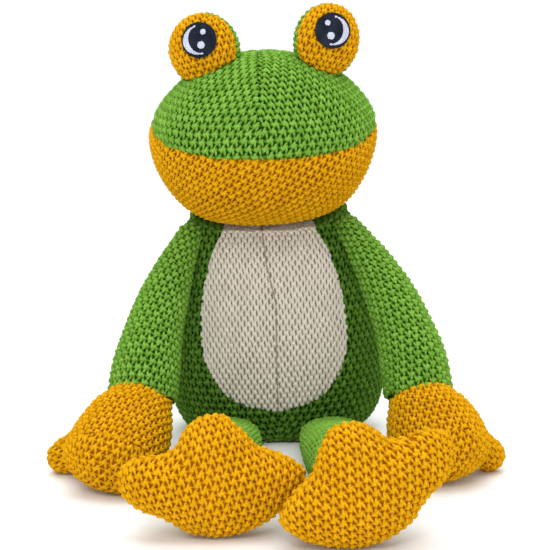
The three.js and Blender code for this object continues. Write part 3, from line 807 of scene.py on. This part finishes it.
neck_half = 8 * UP
neck_bag = dict(
    start=NECK - neck_half, bend=NECK, end=NECK + neck_half, side=SIDEWAYS, width=22, depth=22,
    width_shares=[1, 1], caps=[14, 14],
)
panel("neck_filling", "neck", RingMap(limb(neck_bag, FRONT)), STAR, "shaded green", everywhere)

# Head


JAW_BACK, JAW_LAP, JAW_TILT = 12, 0.8, -23  # where the panel ends, how far seams lap, slant of the rows
CROWN_LAP = 0.3


def below_mouth(p):
    """How far a point lies inside the jaw panel's edge."""
    q = to_mouth(p)
    return np.minimum(-q[..., 2], JAW_BACK - q[..., 1])


def jaw(p):
    return below_mouth(p) > -JAW_LAP


def jaw_dip(p):
    return seam(below_mouth(p))


def crown(sign):
    """Where one side's crown panel is, and how far its seams pull it in."""

    def keep(p):
        return (below_mouth(p) < JAW_LAP) & (to_head(p)[..., 0] * sign > -CROWN_LAP)

    def dip(p):
        return np.maximum(seam(-below_mouth(p)), seam(to_head(p)[..., 0] * sign, depth=0.6, width=1.4))

    return keep, dip


head_front = RingMap(bolster(head_bag, FRONT))
panel("jaw_panel", "head", head_front, SOFT_STAR, "yellow", jaw, jaw_dip, JAW_TILT)
for side, sign in (("right", -1), ("left", 1)):
    surface = RingMap(bolster(head_bag, FRONT + sign * HEAD_OFFSET), evenly=True)
    panel(f"crown_{side}_panel", "head", surface, STAR, "green", *crown(sign))
stuffing("head_filling", "head", [head_front])

# Eyes


EYE_HEIGHT, EYE_DEPTH, EYE_CLOSING = 24, 15, 2.3
# The eye's seam lies in a slanting plane, a little in front of its middle, and further back for each
# millimetre outwards and upwards.
EYE_SEAM, SEAM_OUTWARDS, SEAM_UPWARDS = -2.4, 0.072, 0.11
PUPIL_UP, PUPIL_RADIUS, PUPIL_LAP = 6.5, 10.8, 0.8  # the knit runs on under the pupil's edge
EYES = {
    "right": dict(sign=-1, width=23, at=(0.461, 1.026), pupil_out=-0.7),
    "left": dict(sign=1, width=21.2, at=(0.591, 1.041), pupil_out=1.0),
}
EYE_BACK = -4  # how far behind the head's middle an eye's middle lies
EYE_SUNK = -2.5  # the eye's cloth runs on this far into the head
EYE_LAP = 0.7  # how far the two panels run past their seam
PUPIL_RISE, WHITE_RISE = 0.75, 1.25  # how far the threads stand out
# Half width and half height of the moon's two edges, and each glint's place from the pupil's middle
# (inwards and up), radius and thread spacing.
MOON_OUTER, MOON_INNER = (9.6, 8.6), (6.5, 8.1)
GLINTS = {"glint_small": (3.9, 3.9, 1.55, 0.42), "glint_large": (0.6, -3.3, 2.15, 0.44)}


def eye_place(eye):
    """Where an eye's middle is, and how it is turned."""
    sign = eye["sign"]
    turn = HEAD_TURN @ rotation(x=-8, y=sign * 15, z=sign * 5)
    at = in_head(sign * eye["at"][0] * head_bag["width"], EYE_BACK, eye["at"][1] * HEAD_HEIGHT)
    return at, turn


class Dome:
    """The front of an eye, read by its flat local coordinates: s sideways and v upwards."""

    def __init__(self, place, width):
        self.place = place
        self.width = width

    def at(self, s, v):
        rho = (s / self.width) ** 2 + (v / EYE_HEIGHT) ** 2
        y = -EYE_DEPTH * np.sqrt(np.maximum(1 - rho ** (EYE_CLOSING / 2), TINY))
        return self.place(np.stack([s, y, v], axis=-1))

    def read(self, s, v):
        point = self.at(s, v)
        normal = np.cross(self.at(s + 0.1, v) - point, self.at(s, v + 0.1) - point)
        normal /= np.linalg.norm(normal, axis=-1, keepdims=True)
        return point, normal, np.ones(s.shape, bool)


def satin(
    surface, rows, rise, seed, radius=0.36, samples=20, ragged=0.12, sway=0.05, plump=0.35, uneven=0.04
):
    """Embroidery: threads side by side, one for each row of (height, from, to)."""
    rng = np.random.default_rng(seed)
    height, start, end = (np.array(column)[:, None] for column in zip(*rows))
    share = np.linspace(0, 1, samples)[None, :]
    start = start + rng.uniform(-ragged, ragged, start.shape)
    end = end + rng.uniform(-ragged, ragged, end.shape)
    s = start + (end - start) * share
    v = height + sway * np.sin(TAU * share + rng.uniform(0, TAU, height.shape))
    s, v = np.broadcast_arrays(s, v)
    bulge = plump * np.sqrt(np.sin(math.pi * np.clip(share, 0.02, 0.98)))
    lift = rise + bulge - plump + rng.uniform(-uneven, uneven, height.shape)
    return tubes(surface, s, v, np.broadcast_to(lift, s.shape), radius, everywhere, None, 6)


def disc_rows(x, z, radius, step=0.52):
    """Rows of threads that fill a disc."""
    rows = []
    count = int(radius / step)
    for k in range(-count, count + 1):
        half = math.sqrt(max(radius**2 - (k * step) ** 2, 0.1))
        rows.append((z + k * step, x - half, x + half))
    return rows


def moon_rows(sign, x, z, step=0.45):
    """Rows of threads that fill a moon, which hugs the outer side of the pupil."""
    rows = []
    count = int(MOON_OUTER[1] / step)
    for k in range(-count, count + 1):
        outer, inner = (
            half * math.sqrt(max(1 - (k * step / height) ** 2, 0))
            for half, height in (MOON_OUTER, MOON_INNER)
        )
        rows.append((z + k * step, x + sign * (inner - 0.2), x + sign * outer))
    return rows


def embroider(node, surface, rows, rise, material, slot):
    threads = satin(surface, rows, rise, sum(map(ord, node)))
    dress(make(node + "_threads", [threads], [material]), node, "head", slot)


for side, eye in EYES.items():
    sign, eye_width = eye["sign"], eye["width"]
    at, turn = eye_place(eye)
    x, z = sign * eye["pupil_out"], PUPIL_UP

    def place(q, at=at, turn=turn):
        return q @ turn.T + at

    def outline(a, width=eye_width):
        return width * np.cos(a), EYE_HEIGHT * np.sin(a)

    def eye_local(p, at=at, turn=turn):
        return (p - at) @ turn

    def behind_seam(p, sign=sign, local=eye_local):
        q = local(p)
        return q[..., 1] - EYE_SEAM - SEAM_OUTWARDS * sign * q[..., 0] - SEAM_UPWARDS * q[..., 2]

    def front_keep(p, x=x, local=eye_local, behind=behind_seam):
        q = local(p)
        clear = np.hypot(q[..., 0] - x, q[..., 2] - PUPIL_UP) > PUPIL_RADIUS - PUPIL_LAP
        return ~in_head_bag(p, EYE_SUNK) & (behind(p) < EYE_LAP) & (clear | (q[..., 1] > 0))

    def back_keep(p, behind=behind_seam):
        return ~in_head_bag(p, EYE_SUNK) & (behind(p) > -EYE_LAP)

    def front_dip(p, behind=behind_seam):
        return seam(-behind(p), depth=0.9, width=1.6)

    def back_dip(p, behind=behind_seam):
        return seam(behind(p), depth=0.9, width=1.6)

    face = FaceMap(outline, EYE_DEPTH, EYE_CLOSING, place, True, past=3.0)
    back = FaceMap(outline, EYE_DEPTH, EYE_CLOSING, place, False, past=8.0)
    panel(f"eye_{side}_front", "head", face, EYE_KNIT, "yellow", front_keep, front_dip)
    panel(f"eye_{side}_back", "head", back, EYE_KNIT, "green", back_keep, back_dip)
    stuffing(f"eye_{side}_filling", "head", [face, back], EYE_FIBRE_INSET)
    dome = Dome(place, eye_width)
    embroider(f"eye_{side}_pupil", dome, disc_rows(x, z, PUPIL_RADIUS), PUPIL_RISE, BLACK, "black_thread")
    embroider(f"eye_{side}_crescent", dome, moon_rows(sign, x, z), WHITE_RISE, WHITE, "white_thread")
    for node, (inwards, up, radius, step) in GLINTS.items():
        rows = disc_rows(x - sign * inwards, z + up, radius, step)
        embroider(f"eye_{side}_{node}", dome, rows, WHITE_RISE, WHITE, "white_thread")

# Limbs

ARM_WIDTH, ARM_WIDTHS = 22, [0.4, 0.58, 0.74, 0.85, 0.97, 1.0]
ARM_FORWARD = 14  # how far the elbow bows forwards
SHOULDER_CAP, WRIST_CAP, PALM_CAP = 9, 19.5, 17
# The shoulder, as shares of the torso's half width, half depth and height, and how far the cloth is
# tucked inwards and back from there.
SHOULDER, TUCK_IN, TUCK_BACK = (0.79, 0.531, 0.823), 2.5, 3
WRIST_HEIGHT, PALM_HEIGHT = 47, 17
PALM_REACH = 42  # how far the round end is laid out from its pole
HEM = 1.5  # how far past the wrist the sleeve ends
HAND_START = -9  # the mitten starts this far up the sleeve
HAND_DIP = 1.1  # how far the mitten is pulled in at the hem
SLEEVE_LAP, PALM_LAP = 0.3, 0.4
# How far past the hem the sleeve's filling ends and the hand's begins, and its room at the shoulder.
SLEEVE_FILLED, HAND_FILLED, SHOULDER_CLEAR = -3, 8, 12
# The thumb starts at this share of the way along the palm; its bend lies at a share of its start's height.
THUMB_RADIUS, THUMB_START, THUMB_TIP = 11.5, 33, 10.5
THUMB_SHARE, THUMB_BEND = 0.74, 0.75
LEG_RADIUS, HIP_CAP, ANKLE_CAP, HIP_HEIGHT = 24.5, 10.5, 20.6, 10
HIP = (0.507 * torso_bag["width"], torso_bag["depth"])
# The ankle: its share of the way outwards from hip to foot, and how far back and up it lies in the foot.
ANKLE_SHARE, ANKLE_BACK, ANKLE_UP = 0.35, 19, 2
LEG_END, FOOT_OPENING = 14, 18  # how far the leg runs on into the foot, and the hole it runs through
FOOT_RADIUS, FOOT_DEPTH, FOOT_CLOSING = 52, 17.5, 2.4
# Outline of the foot: a share of its radius every 15 degrees, from the outer toe's tip over the middle toe.
FOOT_SHARES = [
    1.0, 0.95, 0.63, 0.53, 0.58, 0.65, 0.69, 0.7, 0.64, 0.6, 0.62, 0.8,
    1.0, 0.93, 0.82, 0.73, 0.68, 0.64, 0.625, 0.615, 0.625, 0.63, 0.7, 0.88,
]
SOLE_TILT = 13
FOOTING = 0.5  # how far soft undersides are pressed flat on the floor
# Places are (outwards, forwards); bow is how far the arm bows outwards, roll and yaw turn the foot, and
# tilt slants the sleeve's rows.
SIDES = {
    "right": dict(
        sign=-1, wrist=(84.5, 98), palm=(99.5, 145), bow=10, thumb=(132.8, 104), foot=(37, 216),
        roll=-4, yaw=-4, tilt=0,
    ),
    "left": dict(
        sign=1, wrist=(86, 90), palm=(98, 126), bow=17.5, thumb=(128.6, 99), foot=(47, 231),
        roll=20, yaw=8, tilt=22,
    ),
}

for side, s in SIDES.items():
    sign = s["sign"]
    shoulder = leaning(
        sign * (SHOULDER[0] * torso_bag["width"] - TUCK_IN),
        TUCK_BACK - SHOULDER[1] * torso_bag["depth"],
        SHOULDER[2] * TORSO_HEIGHT,
    )
    wrist = vec(sign * s["wrist"][0], -s["wrist"][1], WRIST_HEIGHT)
    elbow = (shoulder + wrist) / 2 + vec(sign * s["bow"], -ARM_FORWARD, 0)
    arm_bag = dict(
        start=shoulder,
        bend=elbow,
        end=wrist,
        side=SIDEWAYS,
        width=ARM_WIDTH,
        depth=ARM_WIDTH,
        width_shares=ARM_WIDTHS,
        caps=[SHOULDER_CAP, WRIST_CAP],
    )
    forearm = unit(wrist - elbow)
    palm = vec(sign * s["palm"][0], -s["palm"][1], PALM_HEIGHT)

    def mitten(wrist=wrist, palm=palm):
        return dict(
            start=wrist,
            bend=(wrist + palm) / 2,
            end=palm,
            side=SIDEWAYS,
            width=30,
            width_shares=[0.65, 0.86, 1.0, 1.02],
            depth=22,
            depth_shares=[0.886, 1.03, 1.04, 1.0],
            caps=[WRIST_CAP, PALM_CAP],
        )

    # The palm sinks until the mitten just rests on the floor.
    for _ in range(4):
        palm[2] -= limb(mitten(), FRONT)[..., 2].min() + FOOTING
    root = vec(palm[0], (wrist + (palm - wrist) * THUMB_SHARE)[1], THUMB_START)
    tip = vec(sign * s["thumb"][0], -s["thumb"][1], THUMB_TIP)
    thumb_bag = dict(
        start=root,
        bend=vec(*((root + tip) / 2)[:2], THUMB_START * THUMB_BEND),
        end=tip,
        side=vec(0, 1, 0),
        width=THUMB_RADIUS,
        depth=THUMB_RADIUS,
        width_shares=[1.1, 1.12, 1.0, 0.95],
        caps=[THUMB_RADIUS, THUMB_RADIUS],
    )
    arm_map = RingMap(limb(arm_bag, BACKWARDS))
    hand_map = RingMap(limb(mitten(), BACKWARDS))
    palm_map = PoleMap(limb(mitten(), 0.0), PALM_REACH)
    palm_line = unit(palm - wrist)
    thumb_map = RingMap(limb(thumb_bag, BACKWARDS))

    def past_cuff(p, wrist=wrist, forearm=forearm):
        """How far past the sleeve's hem a point lies, down the arm."""
        return (p - wrist) @ forearm - HEM

    def inside_sleeve(p, past=past_cuff, shoulder=shoulder):
        return (past(p) < SLEEVE_FILLED) & (np.linalg.norm(p - shoulder, axis=-1) > SHOULDER_CLEAR)

    def below_cuff(p, past=past_cuff):
        return past(p) > HAND_FILLED

    def sleeve_keep(p, past=past_cuff):
        return past(p) < SLEEVE_LAP

    def hand_keep(p, past=past_cuff, palm=palm, palm_line=palm_line):
        return (past(p) > HAND_START) & ((p - palm) @ palm_line < PALM_LAP)

    def palm_keep(p, palm=palm, palm_line=palm_line):
        return (p - palm) @ palm_line > 0

    def sleeve_dip(p, past=past_cuff):
        return seam(-past(p), depth=0.9, width=1.6)

    def hand_dip(p, past=past_cuff):
        return np.minimum(seam(past(p), depth=HAND_DIP, width=1.8), HAND_DIP)

    panel(f"sleeve_{side}", f"arm_{side}", arm_map, STAR, "green", sleeve_keep, sleeve_dip, s["tilt"])
    panel(
        f"hand_{side}_skin", f"hand_{side}", hand_map, SOFT_STAR, "yellow", hand_keep, hand_dip,
        extra=[(palm_map, palm_keep, None, 0), (thumb_map, everywhere, None, 0)],
    )
    stuffing(f"sleeve_{side}_filling", f"arm_{side}", [arm_map], keep=inside_sleeve)
    stuffing(f"hand_{side}_filling", f"hand_{side}", [hand_map, thumb_map], keep=below_cuff)

    foot_turn = rotation(x=-8, y=-s["roll"] * sign, z=s["yaw"] * sign)

    def foot_outline(a, sign=sign):
        start = a % TAU if sign > 0 else (3 * math.pi - a) % TAU
        r = FOOT_RADIUS * smooth(FOOT_SHARES, start / TAU, closed=True)
        return r * np.cos(a), r * np.sin(a)

    def foot_face(place, front=True, outline=foot_outline):
        return FaceMap(outline, FOOT_DEPTH, FOOT_CLOSING, place, front)

    lowest = foot_face(lambda q, turn=foot_turn: q @ turn.T).table[..., 2].min()
    foot_at = vec(sign * s["foot"][0], -s["foot"][1], -lowest - FOOTING)

    def foot_place(q, foot_at=foot_at, foot_turn=foot_turn):
        return q @ foot_turn.T + foot_at

    ankle = vec(
        sign * (HIP[0] + (s["foot"][0] - HIP[0]) * ANKLE_SHARE),
        -s["foot"][1] + ANKLE_BACK,
        -lowest - FOOTING + ANKLE_UP,
    )
    hip = vec(sign * HIP[0], -HIP[1], HIP_HEIGHT)
    leg_bag = dict(
        start=hip,
        bend=(hip + ankle) / 2,
        end=ankle,
        side=SIDEWAYS,
        width=LEG_RADIUS,
        depth=LEG_RADIUS,
        width_shares=[0.9, 0.96, 1, 1, 0.96, 0.84],
        depth_shares=[0.429, 0.48, 0.6, 0.76, 0.88, 0.84],
        caps=[HIP_CAP, ANKLE_CAP],
    )
    leg_map = RingMap(limb(leg_bag, BACKWARDS))
    leg_line = unit(ankle - hip)

    def leg_keep(p, ankle=ankle, leg_line=leg_line):
        return (p - ankle) @ leg_line < LEG_END

    panel(f"leg_{side}_skin", f"leg_{side}", leg_map, STAR, "green", leg_keep)
    stuffing(f"leg_{side}_filling", f"leg_{side}", [leg_map])

    sole_map = foot_face(foot_place)
    top_map = foot_face(foot_place, False)

    def above_sole(p, foot_at=foot_at, foot_turn=foot_turn):
        """How far a point lies on the top's side of the seam round the foot."""
        return ((p - foot_at) @ foot_turn)[..., 1]

    def sole_dip(p, above=above_sole):
        return seam(-above(p), depth=0.8, width=1.8)

    def top_dip(p, above=above_sole):
        return seam(above(p), depth=0.8, width=1.8)

    def top_keep(p, ankle=ankle):
        return np.linalg.norm(p - ankle, axis=-1) > FOOT_OPENING

    foot = f"foot_{side}"
    panel(f"{foot}_sole", foot, sole_map, SOFT_STAR, "yellow", everywhere, sole_dip, SOLE_TILT)
    panel(f"{foot}_top", foot, top_map, SOFT_STAR, "yellow", top_keep, top_dip)
    stuffing(f"{foot}_filling", foot, [sole_map, top_map])

# Floor, light and camera

FLOOR_RADIUS, FLOOR_DROP = 1.3, 0.0002
bpy.ops.mesh.primitive_circle_add(
    vertices=128, radius=FLOOR_RADIUS, fill_type="NGON", location=(0, 0, -FLOOR_DROP)
)
floor = bpy.context.object
floor.name = "floor"
floor_material, _ = new_material("floor", (0.93, 0.93, 0.93), 0.7)
floor.data.materials.append(floor_material)

# The room is white below eye level and dimmer above it.
world = bpy.data.worlds.new("studio")
world.use_nodes = True
nodes, links = world.node_tree.nodes, world.node_tree.links
direction = nodes.new("ShaderNodeTexCoord")
axes = nodes.new("ShaderNodeSeparateXYZ")
links.new(direction.outputs["Generated"], axes.inputs["Vector"])
shade = nodes.new("ShaderNodeMapRange")
for name, value in (("From Min", 0.0), ("From Max", 0.15), ("To Min", 1.02), ("To Max", 0.5)):
    shade.inputs[name].default_value = value
links.new(axes.outputs["Z"], shade.inputs["Value"])
links.new(shade.outputs["Result"], nodes["Background"].inputs["Strength"])
nodes["Background"].inputs["Color"].default_value = (1, 1, 1, 1)
bpy.context.scene.world = world


def area(name, at, target, size, power):
    """A square soft light."""
    data = bpy.data.lights.new(name, "AREA")
    data.size = size
    data.energy = power
    obj = bpy.data.objects.new(name, data)
    bpy.context.scene.collection.objects.link(obj)
    obj.location = at
    obj.rotation_euler = (Vector(target) - Vector(at)).to_track_quat("-Z", "Y").to_euler()


area("key", (-0.35, -1.45, 1.5), (0, 0, 0.12), 0.8, 12)
area("front", (0.1, -1.8, 0.45), (0, 0, 0.12), 0.7, 7.5)
area("top", (0, 0.7, 2.4), (0, 0.7, 0), 3.2, 80)

ELEVATION, AZIMUTH = math.radians(10.362), math.radians(0.185)
CAMERA_AT = (0.00003, -1.04525, 0.29631)
camera_data = bpy.data.cameras.new("camera")
camera = bpy.data.objects.new("camera", camera_data)
bpy.context.scene.collection.objects.link(camera)
bpy.context.scene.camera = camera
sight = Vector(
    (-math.sin(AZIMUTH) * math.cos(ELEVATION), math.cos(AZIMUTH) * math.cos(ELEVATION), -math.sin(ELEVATION))
)
camera.location = Vector(SHIFT * MM) + Vector(CAMERA_AT)
camera.rotation_euler = sight.to_track_quat("-Z", "Y").to_euler()
camera_data.sensor_width = 36
camera_data.lens = 103.68
camera_data.clip_start = 0.05
camera_data.clip_end = 20

bpy.context.scene.view_settings.view_transform = "Standard"
